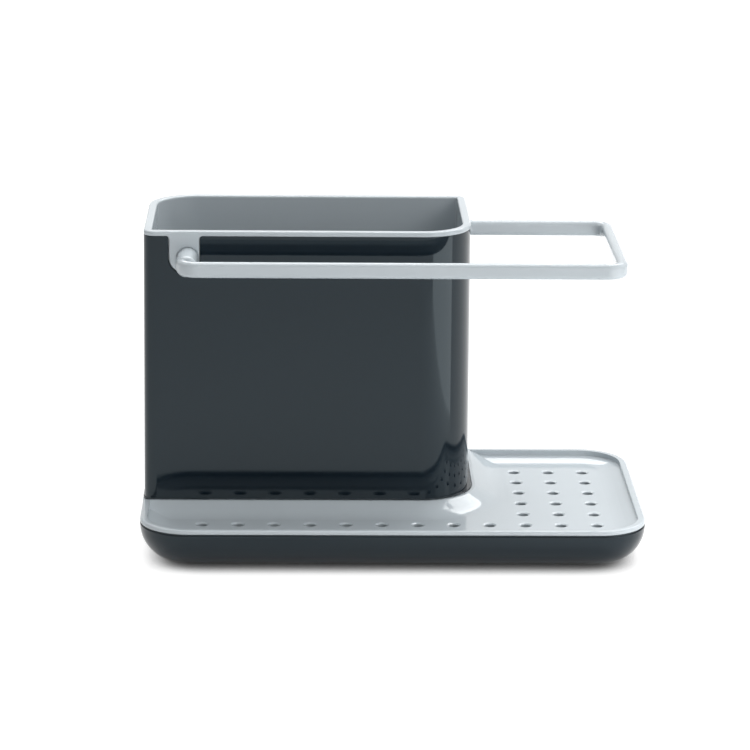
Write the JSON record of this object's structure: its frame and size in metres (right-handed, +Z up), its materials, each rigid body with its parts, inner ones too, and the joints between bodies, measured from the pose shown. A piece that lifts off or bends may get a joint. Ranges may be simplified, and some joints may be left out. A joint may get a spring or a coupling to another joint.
{
  "type": "kitchen sink caddy",
  "caption": "Free-standing sink tidy: a tall tub at the rear left, a lipped drip tray over a shallow water bowl, and a cloth rail that loops past the tub.",
  "frame": {"origin": "under the middle of the tray, on the surface that the feet stand on", "axes": "+X right along the length, +Y to the rear, +Z up"},
  "size_m": [0.205, 0.116, 0.1314],
  "materials": {
    "charcoal_gloss": "polished charcoal moulded plastic",
    "light_grey_gloss": "glossy light grey moulded plastic",
    "foot_rubber": "matte black soft rubber"
  },
  "bodies": {
    "base": {"reservoir_base": "charcoal_gloss", "foot_front_left": "foot_rubber", "foot_front_right": "foot_rubber", "foot_rear_left": "foot_rubber", "foot_rear_right": "foot_rubber"},
    "tray": {"drip_tray": "light_grey_gloss"},
    "tub": {"caddy_tub": "charcoal_gloss"},
    "insert": {"insert_frame": "light_grey_gloss", "cloth_rail": "light_grey_gloss"}
  },
  "joints": [
    {"name": "tray_lift", "type": "slide", "parent": "base", "child": "tray", "axis": [0, 0, 1], "range_m": [0, 0.03]},
    {"name": "tub_lift", "type": "slide", "parent": "tray", "child": "tub", "axis": [0, 0, 1], "range_m": [0, 0.03]},
    {"name": "insert_lift", "type": "slide", "parent": "tub", "child": "insert", "axis": [0, 0, 1], "range_m": [0, 0.045]}
  ]
}
